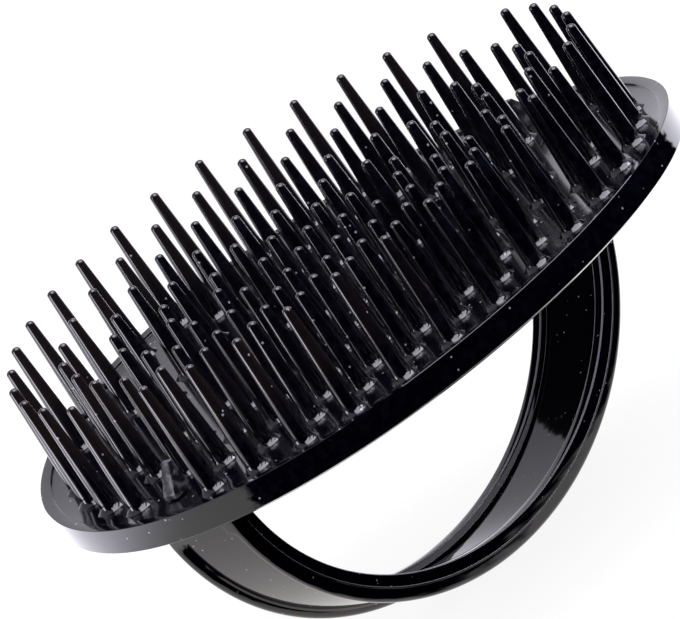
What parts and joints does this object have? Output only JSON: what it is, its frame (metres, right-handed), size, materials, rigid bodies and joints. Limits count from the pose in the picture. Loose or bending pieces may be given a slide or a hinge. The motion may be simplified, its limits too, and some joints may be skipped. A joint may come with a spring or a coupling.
{
  "type": "palm shampoo brush",
  "caption": "Round palm brush for shampooing: a dished ring pattern of stiff tapered bristles on a curved plate, with an arched strap handle for the fingers on its back.",
  "frame": {"origin": "under the middle of the round plate, level with the lowest point of the handle's arch", "axes": "+Z from the handle to the bristle tips, +X along the chord of the handle's arch, +Y across the handle strap"},
  "size_m": [0.0808, 0.0808, 0.0461],
  "materials": {
    "plate": "glossy moulded black plastic",
    "bristles": "glossy moulded black plastic",
    "handle": "glossy moulded black plastic"
  },
  "bodies": {
    "root": {"plate": "plate", "bristle_centre": "bristles", "bristle_ring_1": "bristles", "bristle_ring_2": "bristles", "bristle_ring_3": "bristles", "bristle_ring_4": "bristles", "bristle_ring_5": "bristles", "bristle_ring_6": "bristles", "handle_bow": "handle"}
  },
  "joints": []
}
